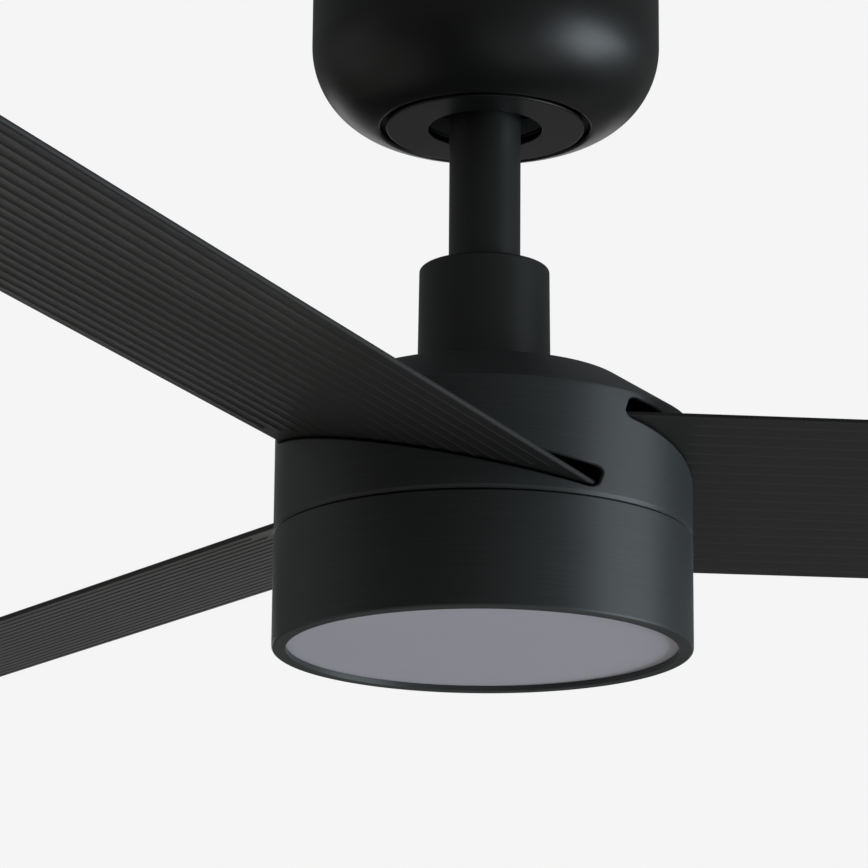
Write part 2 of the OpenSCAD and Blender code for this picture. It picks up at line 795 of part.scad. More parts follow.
hanger_bracket();
ball_seat();
seat_screws();
canopy();
canopy_screws();
canopy_cover();
receiver_box();
terminal_block();
earth_lead();
hanger_ball();
cross_pin();
ball_set_screw();
downrod();
coupling_cover();
cover_grommet();
motor_coupling();
clevis_pin();
pin_clip();
coupling_set_screws();
motor_shaft();
stator_core();
stator_windings();
upper_inner_race();
lower_inner_race();
shaft_spacers();
shaft_circlips();
light_mount_plate();
shaft_nut();
light_housing();
light_housing_screws();
drive_board();
led_driver();
led_board();
led_chips();
board_standoffs();
led_board_screws();
diffuser();
diffuser_ring();
lead_wires();
rotor_can();
rotor_top_cover();
rotor_bottom_cover();
rotor_cover_screws();
rotor_magnets();
upper_outer_race();
lower_outer_race();
upper_housing();
upper_housing_screws();
blade_holder_1();
blade_holder_2();
blade_holder_3();
holder_screws();
blade_1();
blade_2();
blade_3();
blade_screws();
upper_bearing_balls();
upper_bearing_cage();
lower_bearing_balls();
lower_bearing_cage();
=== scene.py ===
"""A three-blade ceiling fan with a flat round light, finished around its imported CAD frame.

Shapes are worked out in millimetres, +Z up, with the origin in the middle of the ceiling face,
and are scaled to metres when they become objects.
"""

import json
import logging
import math
from collections.abc import Iterable, Sequence
from dataclasses import dataclass, field
from enum import Enum

import bmesh
import bpy
import numpy as np
from mathutils import Matrix, Vector
from mathutils.geometry import delaunay_2d_cdt

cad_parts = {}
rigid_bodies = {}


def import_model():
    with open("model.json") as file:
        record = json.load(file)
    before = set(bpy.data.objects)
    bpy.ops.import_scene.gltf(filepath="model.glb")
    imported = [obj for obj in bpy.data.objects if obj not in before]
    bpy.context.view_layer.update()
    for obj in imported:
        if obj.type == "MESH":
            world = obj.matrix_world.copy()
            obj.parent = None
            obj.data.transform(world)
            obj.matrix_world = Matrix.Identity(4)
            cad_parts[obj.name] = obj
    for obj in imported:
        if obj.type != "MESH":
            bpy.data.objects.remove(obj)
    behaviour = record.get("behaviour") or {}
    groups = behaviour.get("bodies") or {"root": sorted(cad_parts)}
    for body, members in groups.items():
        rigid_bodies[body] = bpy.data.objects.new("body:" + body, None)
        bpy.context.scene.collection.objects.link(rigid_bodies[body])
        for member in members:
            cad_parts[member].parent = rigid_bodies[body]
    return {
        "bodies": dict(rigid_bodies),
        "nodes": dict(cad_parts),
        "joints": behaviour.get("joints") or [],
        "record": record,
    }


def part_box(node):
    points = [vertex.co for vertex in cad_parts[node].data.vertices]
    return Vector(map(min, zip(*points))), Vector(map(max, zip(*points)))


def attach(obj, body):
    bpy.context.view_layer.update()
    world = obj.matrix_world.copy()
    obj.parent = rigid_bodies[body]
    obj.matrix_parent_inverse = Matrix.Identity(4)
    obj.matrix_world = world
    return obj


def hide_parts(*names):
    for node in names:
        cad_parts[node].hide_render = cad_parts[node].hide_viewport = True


log = logging.getLogger("ceiling_fan")

MM = 0.001
BLADE_COUNT = 3
FULL_TURN = 2 * math.pi
# How many flats a large turned piece has around it.
ROUND_SEGMENTS = 288

# Millimetres: points nearer than this become one, and the usual rounding of a sheet's edge.
WELD = 0.002
EASE = 0.3
# The smallest share of a side that a sharp corner keeps when an outline grows.
LEAST_MITRE = 0.3
# A quarter of a turn, as a share.
QUARTER = 0.25
# What delaunay_2d_cdt calls filling only the inside of the outer outline.
FILL_INSIDE = 1
# The colour sockets of a Mix node: its two inputs and its result.
MIX_A, MIX_B, MIX_RESULT = 6, 7, 2

Point = tuple[float, float]
Colour = tuple[float, float, float]
Socket = bpy.types.NodeSocket
Inputs = dict[str | int, object]


class Body(Enum):
    """The bodies of the fan that a piece can ride on."""

    ROOT = "root"
    HANGER = "hanger"
    ROTOR = "rotor"


class Slot(Enum):
    """The record's material slots, named alongside each new piece's finish."""

    ENAMEL = "graphite_enamel"
    BLADE = "blade_abs"
    ACRYLIC = "frosted_acrylic"


# ---------------------------------------------------------------------------------------------
# Outlines
# ---------------------------------------------------------------------------------------------


@dataclass(frozen=True)
class Corner:
    """A corner of an outline, and the radius that rounds it."""

    x: float
    y: float
    radius: float = 0.0


def arc(centre: Point, radius: float, start: float, end: float, steps: int) -> list[Point]:
    """Points along an arc.

    Args:
        centre: The middle of the arc.
        radius: Its radius.
        start: The first angle, in degrees.
        end: The last angle, in degrees.
        steps: How many equal steps lie between them.

    Returns:
        The points, both ends included.
    """
    angles = (math.radians(start + (end - start) * i / steps) for i in range(steps + 1))
    return [(centre[0] + radius * math.cos(a), centre[1] + radius * math.sin(a)) for a in angles]


def round_corner(before: Corner, corner: Corner, after: Corner, step_deg: float) -> list[Point]:
    """The arc that rounds one corner.

    Args:
        before: The corner before it.
        corner: The corner to round.
        after: The corner after it.
        step_deg: The largest turn between two points of the arc.

    Returns:
        The points of the arc, or the corner itself where its radius is zero.
    """
    here = Vector((corner.x, corner.y))
    to_before = (Vector((before.x, before.y)) - here).normalized()
    to_after = (Vector((after.x, after.y)) - here).normalized()
    turn = math.pi - to_before.angle(to_after)
    if corner.radius <= 0 or turn < 1e-4:
        return [(corner.x, corner.y)]
    half = (math.pi - turn) / 2
    centre = here + (to_before + to_after).normalized() * corner.radius / math.sin(half)
    first = here + to_before * corner.radius / math.tan(half) - centre
    side = math.copysign(1.0, to_before.x * to_after.y - to_before.y * to_after.x)
    steps = max(2, math.ceil(math.degrees(turn) / step_deg))
    points = []
    for i in range(steps + 1):
        angle = -side * turn * i / steps
        cos, sin = math.cos(angle), math.sin(angle)
        points.append(
            (centre.x + first.x * cos - first.y * sin, centre.y + first.x * sin + first.y * cos)
        )
    return points


def rounded(corners: Sequence[Corner], closed: bool = True, step_deg: float = 11.0) -> list[Point]:
    """An outline with each corner rounded by its own radius.

    Args:
        corners: The corners in order.
        closed: Whether the last corner joins the first.
        step_deg: The largest turn between two points of an arc.

    Returns:
        The points of the outline.
    """
    points: list[Point] = []
    last = len(corners) - 1
    for i, corner in enumerate(corners):
        if not closed and i in (0, last):
            points.append((corner.x, corner.y))
            continue
        points += round_corner(corners[i - 1], corner, corners[(i + 1) % len(corners)], step_deg)
    return points


def side_normals(points: Sequence[Point], closed: bool, by_length: bool) -> list[Point]:
    """A unit normal at each point of an outline, to the right of its direction of travel.

    Args:
        points: The outline.
        closed: Whether the last point joins the first.
        by_length: Whether a long side counts for more than a short one, as shading needs.

    Returns:
        One normal a point.
    """
    line = np.array(points, float)
    ahead = np.roll(line, -1, axis=0) - line
    length = np.maximum(np.linalg.norm(ahead, axis=1, keepdims=True), 1e-12)
    across = np.column_stack([ahead[:, 1], -ahead[:, 0]]) / length
    weight = length**2 if by_length else np.ones_like(length)
    if not closed:
        weight[-1] = 0
    total = across * weight + np.roll(across * weight, 1, axis=0)
    unit = total / np.maximum(np.linalg.norm(total, axis=1, keepdims=True), 1e-12)
    return [tuple(n) for n in unit]


def is_anticlockwise(points: Sequence[Point]) -> bool:
    """Whether a closed outline runs anticlockwise."""
    line = np.array(points, float)
    ahead = np.roll(line, -1, axis=0)
    return float(np.sum(line[:, 0] * ahead[:, 1] - line[:, 1] * ahead[:, 0])) > 0


def grown(points: Sequence[Point], distance: float) -> list[Point]:
    """A closed anticlockwise outline grown outwards, or shrunk where the distance is negative.

    Args:
        points: The outline.
        distance: How far each side moves.

    Returns:
        The new outline, with as many points.
    """
    line = np.array(points, float)
    unit = np.array(side_normals(points, closed=True, by_length=False))
    ahead = np.roll(line, -1, axis=0) - line
    ahead /= np.maximum(np.linalg.norm(ahead, axis=1, keepdims=True), 1e-12)
    across = np.column_stack([ahead[:, 1], -ahead[:, 0]])
    mitre = np.maximum(np.sum(unit * across, axis=1, keepdims=True), LEAST_MITRE)
    return [tuple(p) for p in line + unit * distance / mitre]


def inside(points: np.ndarray, outline: Sequence[Point]) -> np.ndarray:
    """Which points lie inside a closed outline.

    Args:
        points: The points, one a row.
        outline: The outline.

    Returns:
        One truth value a point.
    """
    x, y = points[:, 0], points[:, 1]
    found = np.zeros(len(points), bool)
    for (x0, y0), (x1, y1) in zip(outline, [*outline[1:], outline[0]], strict=True):
        if y0 != y1:
            crosses = (y0 > y) != (y1 > y)
            found ^= crosses & (x < (x1 - x0) * (y - y0) / (y1 - y0) + x0)
    return found


def fill(
    outer: Sequence[Point], holes: Sequence[Sequence[Point]], between: Iterable[Point] = ()
) -> tuple[list[Point], list[tuple[int, ...]]]:
    """Triangles that fill an outline around its holes.

    Args:
        outer: The outer outline.
        holes: The outlines left open.
        between: Further points to use inside.

    Returns:
        The points and the triangles on them.
    """
    points: list[Point] = []
    edges: list[tuple[int, int]] = []
    for loop in [outer, *holes]:
        start, count = len(points), len(loop)
        points += loop
        edges += [(start + i, start + (i + 1) % count) for i in range(count)]
    points += between
    made, _, faces, *_ = delaunay_2d_cdt([Vector(p) for p in points], edges, [], FILL_INSIDE, 1e-6)
    flat = [(v.x, v.y) for v in made]
    middles = np.array([np.mean([flat[i] for i in f], axis=0) for f in faces])
    open_here = np.zeros(len(faces), bool)
    for hole in holes:
        open_here |= inside(middles, hole)
    return flat, [tuple(f) for f, skip in zip(faces, open_here, strict=True) if not skip]


# ---------------------------------------------------------------------------------------------
# Meshes
# ---------------------------------------------------------------------------------------------


def new_object(name: str, data: bpy.types.ID | None) -> bpy.types.Object:
    """A new object with its data, linked into the scene."""
    made = bpy.data.objects.new(name, data)
    bpy.context.scene.collection.objects.link(made)
    return made


class Draft:
    """A mesh in the making, in millimetres, with the exact normals of its curved faces.

    The faces numbered in second take the piece's second finish.
    """

    def __init__(self) -> None:
        """Starts an empty mesh."""
        self.points: list[Vector] = []
        self.normals: list[Vector] = []
        self.faces: list[tuple[int, ...]] = []
        self.second: set[int] = set()

    def add(
        self, points: Iterable[Sequence[float]], normals: Iterable[Sequence[float]]
    ) -> list[int]:
        """Adds points with their normals.

        Args:
            points: The points.
            normals: One normal a point; a zero vector leaves it to the faces around it.

        Returns:
            The numbers of the new points.
        """
        start = len(self.points)
        self.points += [Vector(p) for p in points]
        self.normals += [Vector(n) for n in normals]
        return list(range(start, len(self.points)))

    def strip(self, one: Sequence[int], other: Sequence[int], closed: bool = True) -> None:
        """Joins two rows of points with quads.

        Args:
            one: The first row.
            other: The second row, with as many points.
            closed: Whether the rows are rings.
        """
        count = len(one)
        for i in range(count if closed else count - 1):
            j = (i + 1) % count
            self.faces.append((one[i], one[j], other[j], other[i]))

    def turn(self, outline: Sequence[Point], closed: bool, segments: int) -> None:
        """Turns an outline of radii and heights about Z.

        Args:
            outline: The outline, anticlockwise where it is closed.
            closed: Whether its last point joins its first.
            segments: How many flats the full turn has.
        """
        normals = side_normals(outline, closed, by_length=True)
        rings = []
        angles = [FULL_TURN * i / segments for i in range(segments)]
        for (r, z), (nr, nz) in zip(outline, normals, strict=True):
            ring = [(r * math.cos(a), r * math.sin(a), z) for a in angles]
            rings.append(self.add(ring, [(nr * math.cos(a), nr * math.sin(a), nz) for a in angles]))
        for one, other in zip(rings, [*rings[1:], rings[0]], strict=True):
            if closed or other is not rings[0]:
                self.strip(one, other)

    def merge(self, other: "Draft", place: Matrix) -> None:
        """Adds a copy of another draft.

        Args:
            other: The draft to copy.
            place: Where the copy goes, in millimetres.
        """
        turn = place.to_3x3()
        numbers = self.add([place @ p for p in other.points], [turn @ n for n in other.normals])
        self.second |= {len(self.faces) + i for i in other.second}
        self.faces += [tuple(numbers[i] for i in face) for face in other.faces]

    def object(self, name: str) -> bpy.types.Object:
        """Makes the mesh into an object in metres.

        Args:
            name: The object's name.

        Returns:
            The object, in the scene.
        """
        mesh = bpy.data.meshes.new(name)
        mesh.from_pydata([p * MM for p in self.points], [], self.faces)
        for face in self.second:
            mesh.polygons[face].material_index = 1
        work = bmesh.new()
        work.from_mesh(mesh)
        hint = work.verts.layers.float_vector.new("hint")
        work.verts.ensure_lookup_table()
        for vert, normal in zip(work.verts, self.normals, strict=True):
            vert[hint] = normal
        bmesh.ops.remove_doubles(work, verts=work.verts, dist=WELD * MM)
        bmesh.ops.dissolve_degenerate(work, edges=work.edges, dist=1e-8)
        bmesh.ops.recalc_face_normals(work, faces=work.faces)
        for face in work.faces:
            face.smooth = True
        work.normal_update()
        exact = []
        for vert in work.verts:
            given = Vector(vert[hint])
            exact.append(given.normalized() if given.length > 0.5 else vert.normal.copy())
        work.verts.layers.float_vector.remove(hint)
        work.to_mesh(mesh)
        work.free()
        mesh.normals_split_custom_set_from_vertices(exact)
        return new_object(name, mesh)


def turned(
    outline: Sequence[Point], closed: bool = True, segments: int = ROUND_SEGMENTS
) -> Draft:
    """A piece turned about Z from one outline.

    Args:
        outline: The radii and heights, anticlockwise where they are closed.
        closed: Whether the last point joins the first.
        segments: How many flats the full turn has.

    Returns:
        The draft of the piece.
    """
    draft = Draft()
    draft.turn(outline, closed, segments)
    return draft


def turned_pin(radius: float, length: float, edge: float) -> Draft:
    """A round pin with softened ends, standing on z = 0.

    Args:
        radius: The radius of the pin.
        length: Its length.
        edge: The radius that softens its ends.

    Returns:
        The draft of the pin.
    """
    corners = [Corner(0, 0), Corner(radius, 0, edge), Corner(radius, length, edge), Corner(0, length)]
    return turned(rounded(corners, closed=False, step_deg=30), closed=False, segments=32)


# ---------------------------------------------------------------------------------------------
# Finishes
# ---------------------------------------------------------------------------------------------


class Tree:
    """The nodes of a material or of the world, with one short call to add a node."""

    def __init__(self, owner: bpy.types.ID) -> None:
        """Starts an empty tree.

        Args:
            owner: The material or world.
        """
        owner.use_nodes = True
        self.nodes = owner.node_tree.nodes
        self.links = owner.node_tree.links
        self.nodes.clear()

    def add(self, kind: str, inputs: Inputs) -> bpy.types.Node:
        """Adds a node.

        Args:
            kind: Blender's name for the kind of node.
            inputs: What each input gets: a plain value, or the socket that feeds it.

        Returns:
            The node.
        """
        node = self.nodes.new(kind)
        for name, value in inputs.items():
            if isinstance(value, bpy.types.NodeSocket):
                self.links.new(value, node.inputs[name])
            else:
                node.inputs[name].default_value = value
        return node


class Graph(Tree):
    """The node tree of one material, with short calls for the steps that the finishes share."""

    def __init__(self, name: str) -> None:
        """Starts a material with one shader.

        Args:
            name: The material's name.
        """
        self.material = bpy.data.materials.new(name)
        super().__init__(self.material)
        self.shader = self.add("ShaderNodeBsdfPrincipled", {})
        self.add("ShaderNodeOutputMaterial", {"Surface": self.shader.outputs["BSDF"]})
        self.place = self.add("ShaderNodeTexCoord", {}).outputs["Object"]

    def constants(self, values: dict[str, float]) -> None:
        """Sets plain numbers on the shader's own sockets."""
        for name, value in values.items():
            self.shader.inputs[name].default_value = value

    def scaled(self, cell_mm: Sequence[float]) -> Socket:
        """The place on the object, counted in cells of the given size along X, Y and Z."""
        scale = [1 / (c * MM) for c in cell_mm]
        return self.add("ShaderNodeMapping", {"Vector": self.place, "Scale": scale}).outputs["Vector"]

    def noise(self, cell_mm: Sequence[float], detail: float = 2.0) -> Socket:
        """A noise from 0 to 1.

        Args:
            cell_mm: The size of its grains along X, Y and Z, in millimetres.
            detail: How many finer layers it has.

        Returns:
            The value socket.
        """
        inputs = {"Vector": self.scaled(cell_mm), "Scale": 1.0, "Detail": detail}
        return self.add("ShaderNodeTexNoise", inputs).outputs["Fac"]

    def lines(self, pitch_mm: float, wander: float) -> Socket:
        """Even bands across Z, such as stacked sheets or wound wire.

        Args:
            pitch_mm: The distance from one band to the next.
            wander: How far they stray from even.

        Returns:
            The value socket.
        """
        one_band = FULL_TURN / 20
        cells = self.scaled((pitch_mm,) * 3)
        inputs = {"Vector": cells, "Scale": one_band, "Distortion": wander}
        node = self.add("ShaderNodeTexWave", inputs)
        node.wave_type = "BANDS"
        node.bands_direction = "Z"
        return node.outputs["Fac"]

    def spread(self, noise: Socket, low: float, high: float) -> Socket:
        """Spreads a noise, which mostly lies between 0.25 and 0.75, over a range.

        Args:
            noise: The noise.
            low: The result where it is dark.
            high: The result where it is bright.

        Returns:
            The value socket.
        """
        inputs = {"Value": noise, "From Min": 0.25, "From Max": 0.75, "To Min": low, "To Max": high}
        return self.add("ShaderNodeMapRange", inputs).outputs["Result"]

    def colour(self, noise: Socket, dark: Colour, light: Colour) -> None:
        """Sets the base colour between two colours, chosen by a noise."""
        inputs = {"Factor": self.spread(noise, 0.0, 1.0), MIX_A: (*dark, 1), MIX_B: (*light, 1)}
        node = self.add("ShaderNodeMix", inputs)
        node.data_type = "RGBA"
        self.links.new(node.outputs[MIX_RESULT], self.shader.inputs["Base Color"])

    def roughness(self, noise: Socket, low: float, high: float) -> None:
        """Sets the roughness between two values, chosen by a noise."""
        self.links.new(self.spread(noise, low, high), self.shader.inputs["Roughness"])

    def relief(self, layers: Sequence[tuple[Socket, float]]) -> None:
        """Sets the fine relief of the surface.

        Args:
            layers: Each height between 0 and 1, with its depth in millimetres.
        """
        below: Inputs = {}
        for height, depth_mm in layers:
            inputs = {"Height": height, "Strength": 1.0, "Distance": depth_mm * MM, **below}
            below = {"Normal": self.add("ShaderNodeBump", inputs).outputs["Normal"]}
        self.links.new(below["Normal"], self.shader.inputs["Normal"])


def shade(colour: Colour, factor: float) -> Colour:
    """A colour made darker or lighter by a factor."""
    return (colour[0] * factor, colour[1] * factor, colour[2] * factor)


@dataclass(frozen=True)
class Finish:
    """A finish with a grain: the base of every material on the fan."""

    name: str
    base: Colour
    rough: float
    metal: float = 0.0
    grain_mm: tuple[float, float, float] = (0.4, 0.4, 0.4)
    grain_depth_mm: float = 0.004
    variation: float = 0.08
    mottle_mm: float = 30.0
    specular: float = 0.5

    def make(self) -> bpy.types.Material:
        """Makes the material.

        Returns:
            The material.
        """
        graph = Graph(self.name)
        graph.constants({"Metallic": self.metal, "Specular IOR Level": self.specular})
        self.dress(graph)
        return graph.material

    @property
    def tones(self) -> tuple[Colour, Colour]:
        """The darkest and the lightest tone of the base colour."""
        return shade(self.base, 1 - self.variation), shade(self.base, 1 + self.variation)

    def dress(self, graph: Graph) -> None:
        """Adds the colour, roughness and relief.

        Args:
            graph: The material's node tree.
        """
        mottle = graph.noise((self.mottle_mm,) * 3, detail=3.0)
        grain = graph.noise(self.grain_mm)
        graph.colour(mottle, *self.tones)
        graph.roughness(grain, self.rough - 0.05, self.rough + 0.05)
        graph.relief([(grain, self.grain_depth_mm)])


@dataclass(frozen=True)
class BrushedEnamel(Finish):
    """Satin enamel over metal that was brushed around its axis, with fine level lines.

    A highlight spreads across the brushing, up and down.
    """

    line_mm: float = 0.5
    line_length_mm: float = 40.0
    line_depth_mm: float = 0.0045
    stretch: float = 0.6

    def dress(self, graph: Graph) -> None:
        """Adds level lines to the grain.

        Args:
            graph: The material's node tree.
        """
        graph.constants({"Anisotropic": self.stretch, "Anisotropic Rotation": QUARTER})
        mottle = graph.noise((self.mottle_mm,) * 3, detail=3.0)
        grain = graph.noise(self.grain_mm)
        streaks = graph.noise((self.line_length_mm, self.line_length_mm, self.line_mm), detail=3.0)
        graph.colour(streaks, *self.tones)
        graph.roughness(mottle, self.rough - 0.03, self.rough + 0.03)
        graph.relief([(streaks, self.line_depth_mm), (grain, self.grain_depth_mm)])


@dataclass(frozen=True)
class LayeredMetal(Finish):
    """Metal in even layers across Z, such as stacked sheets or wound wire."""

    layer_mm: float = 0.5
    layer_depth_mm: float = 0.08

    def dress(self, graph: Graph) -> None:
        """Adds the layers to the grain.

        Args:
            graph: The material's node tree.
        """
        layers = graph.lines(self.layer_mm, wander=0.6)
        grain = graph.noise(self.grain_mm)
        graph.colour(layers, shade(self.base, 0.55), shade(self.base, 1.1))
        graph.roughness(grain, self.rough - 0.06, self.rough + 0.06)
        graph.relief([(layers, self.layer_depth_mm), (grain, self.grain_depth_mm)])


ENAMEL = Finish("satin graphite enamel", (0.010, 0.0103, 0.0098), 0.41, grain_depth_mm=0.002)
ROD_ENAMEL = BrushedEnamel(
    "drawn graphite enamel", (0.023, 0.025, 0.0235), 0.44, grain_depth_mm=0.002, stretch=0.3
)
DRUM_ENAMEL = BrushedEnamel(
    "brushed graphite enamel",
    (0.037, 0.041, 0.0415),
    0.48,
    grain_depth_mm=0.002,
    variation=0.2,
    specular=0.6,
    stretch=0.7,
)
BLADE_PLASTIC = Finish(
    "matt blade plastic",
    (0.0155, 0.0152, 0.014),
    0.52,
    grain_mm=(1.2, 0.3, 0.3),
    grain_depth_mm=0.006,
    variation=0.05,
)
# Painted highlight: a lighter plastic on the rib tops stands in for the light that the ribs catch.
RIDGE_HIGHLIGHT_PLASTIC = Finish(
    "blade plastic with painted ridge highlight",
    (0.027, 0.0265, 0.025),
    0.45,
    grain_mm=(1.2, 0.3, 0.3),
    mottle_mm=9.0,
)
ACRYLIC = Finish("frosted acrylic", (0.60, 0.585, 0.645), 0.6, variation=0.015)
ZINC = Finish("zinc-plated steel", (0.60, 0.61, 0.63), 0.34, metal=1.0, grain_mm=(0.8, 0.8, 0.8))
BLACK_STEEL = Finish("black oxide steel", (0.02, 0.02, 0.022), 0.45, metal=0.3)
GROUND_STEEL = Finish(
    "ground bearing steel", (0.62, 0.62, 0.64), 0.16, metal=1.0, grain_depth_mm=0.001
)
CAST = Finish("cast aluminium", (0.55, 0.56, 0.58), 0.48, metal=1.0, grain_depth_mm=0.02)
BLACK_CAST = Finish("black painted casting", (0.018, 0.018, 0.019), 0.5, grain_depth_mm=0.02)
LAMINATE = LayeredMetal("stacked motor sheet", (0.32, 0.33, 0.36), 0.45, metal=1.0)
COPPER = LayeredMetal("enamelled copper wire", (0.50, 0.20, 0.08), 0.32, metal=0.8, layer_mm=0.9)
MAGNET = Finish("coated magnet", (0.07, 0.07, 0.075), 0.5)
RUBBER = Finish("black rubber", (0.012, 0.012, 0.012), 0.75, grain_depth_mm=0.01)
WHITE_PLASTIC = Finish("white moulded plastic", (0.74, 0.74, 0.71), 0.4, grain_mm=(0.6, 0.6, 0.6))
NYLON = Finish("natural nylon", (0.62, 0.53, 0.36), 0.5)
SEAT_PLASTIC = Finish("glass-filled nylon", (0.022, 0.022, 0.024), 0.55, grain_depth_mm=0.012)
BOARD = Finish("green solder mask", (0.02, 0.15, 0.05), 0.3, variation=0.2, mottle_mm=4.0)
PHOSPHOR = Finish("yellow phosphor", (0.80, 0.60, 0.12), 0.5, variation=0.05)
BRASS = Finish("turned brass", (0.72, 0.50, 0.19), 0.3, metal=1.0, grain_mm=(3.0, 3.0, 0.15))
RED_LEAD = Finish("red wire cover", (0.42, 0.02, 0.015), 0.38)
EARTH_LEAD = Finish(
    "yellow and green wire cover", (0.28, 0.42, 0.03), 0.38, variation=0.3, mottle_mm=5.0
)


class Workshop:
    """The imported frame, the finishes made so far, and how a piece joins the fan."""

    def __init__(self, frame: dict) -> None:
        """Keeps the frame.
        """
        self.nodes: dict[str, bpy.types.Object] = frame["nodes"]
        self.made: dict[str, bpy.types.Material] = {}

    def material(self, finish: Finish) -> bpy.types.Material:
        """The material of a finish, made once."""
        if finish.name not in self.made:
            self.made[finish.name] = finish.make()
        return self.made[finish.name]

    def top(self, node: str) -> float:
        """The height of a CAD node's top, in millimetres."""
        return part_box(node)[1].z / MM

    def bottom(self, node: str) -> float:
        """The height of a CAD node's bottom, in millimetres."""
        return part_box(node)[0].z / MM

    def join(
        self, piece: bpy.types.Object, body: Body, finish: Finish, slot: Slot, *nodes: str
    ) -> None:
        """Finishes a new piece and puts it on its body.

        Args:
            piece: The piece, in place.
            body: The body that it rides on.
            finish: Its finish.
            slot: The record's slot for that finish; not used.
            nodes: The CAD nodes that it stands for.
        """
        piece.data.materials.append(self.material(finish))
        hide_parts(*nodes)
        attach(piece, body.value)
        faces = len(piece.data.polygons)
        log.info("%s: %d faces, %s, on %s", piece.name, faces, finish.name, body.value)

    def dress(self, finish: Finish, *nodes: str) -> None:
        """Gives carried-over CAD nodes a finish.

        Args:
            finish: The finish.
            nodes: The nodes' names.
        """
        for name in nodes:
            data = self.nodes[name].data
            data.materials.clear()
            data.materials.append(self.material(finish))
            log.info("%s: dressed with %s", name, finish.name)


# ---------------------------------------------------------------------------------------------
# The pieces
# ---------------------------------------------------------------------------------------------


@dataclass
class CeilingMount:
    """What is fixed to the ceiling: the canopy, its cover ring, and the bracket inside."""

    shop: Workshop
    radius: float = 73.5
    corner_radius: float = 37.0
    sheet: float = 1.4
    recess_radius: float = 44.3
    recess_depth: float = 4.6
    flange_radius: float = 25.5
    hole_radius: float = 24.0
    cover_radius: float = 41.8
    cover_thickness: float = 1.2
    cover_step: float = 0.8
    post_circle: float = 33.0
    post_radius: float = 2.0
    post_height: float = 4.4
    post_sink: float = 0.1
    recess_floor: float = -73.4
    recess_edge: float = 1.0
    recess_join: float = 0.05
    cover_edge: float = 0.65
    fine_edge: float = 0.2

    def build(self) -> None:
        """Makes the canopy and its cover, and dresses the rest."""
        self.canopy()
        self.cover()
        self.shop.dress(ZINC, "hanger_bracket", "seat_screws", "canopy_screws")
        self.shop.dress(SEAT_PLASTIC, "ball_seat")
        self.shop.dress(WHITE_PLASTIC, "receiver_box", "terminal_block")
        self.shop.dress(EARTH_LEAD, "earth_lead")

    def corner_arc(self, inset: float, edge_radius: float) -> list[Point]:
        """The large round corner, from the straight side to the recess.

        Args:
            inset: How far inside the outer face it runs.
            edge_radius: The distance from the axis at which it ends.

        Returns:
            The points, from the side downwards and inwards.
        """
        centre = (self.radius - self.corner_radius, self.bottom + self.corner_radius)
        radius = self.corner_radius - inset
        end = math.degrees(math.acos((edge_radius - centre[0]) / radius))
        return arc(centre, radius, 0, -end, 48)

    @property
    def bottom(self) -> float:
        """The height of the canopy's underside, which the round corner would reach."""
        return self.recess_floor - self.recess_depth

    def canopy(self) -> None:
        """Makes the canopy: a drawn cup with a recess and an inner flange."""
        outer = self.corner_arc(0.0, self.recess_radius + self.recess_edge)
        inner = self.corner_arc(self.sheet, self.recess_radius + self.sheet)
        floor = self.recess_floor
        corners = [
            Corner(self.radius, 0, EASE),
            Corner(*outer[0]),
            *[Corner(*p) for p in outer[1:-1]],
            Corner(self.recess_radius, outer[-1][1] - self.recess_join, self.recess_edge),
            Corner(self.recess_radius, floor, EASE),
            Corner(self.flange_radius, floor, EASE),
            Corner(self.flange_radius, floor + self.sheet, EASE),
            Corner(self.recess_radius + self.sheet, floor + self.sheet, EASE),
            *[Corner(*p) for p in reversed(inner)],
            Corner(self.radius - self.sheet, 0, EASE),
        ]
        piece = turned(list(reversed(rounded(corners)))).object("canopy_shell")
        self.shop.join(piece, Body.ROOT, ENAMEL, Slot.ENAMEL, "canopy")

    def cover(self) -> None:
        """Makes the flat ring that hides the canopy screws, with its three snap posts."""
        low = self.bottom + self.cover_step
        high = low + self.cover_thickness
        corners = [
            Corner(self.hole_radius, low, EASE),
            Corner(self.cover_radius, low, self.cover_edge),
            Corner(self.cover_radius, high, self.fine_edge),
            Corner(self.hole_radius, high, self.fine_edge),
        ]
        draft = turned(rounded(corners))
        post = turned_pin(self.post_radius, self.post_height, edge=0.5)
        for i in range(BLADE_COUNT):
            spin = Matrix.Rotation(math.radians(90) + FULL_TURN * i / BLADE_COUNT, 4, "Z")
            foot = Matrix.Translation((self.post_circle, 0, high - self.post_sink))
            draft.merge(post, spin @ foot)
        piece = draft.object("canopy_cover_ring")
        self.shop.join(piece, Body.ROOT, ENAMEL, Slot.ENAMEL, "canopy_cover")


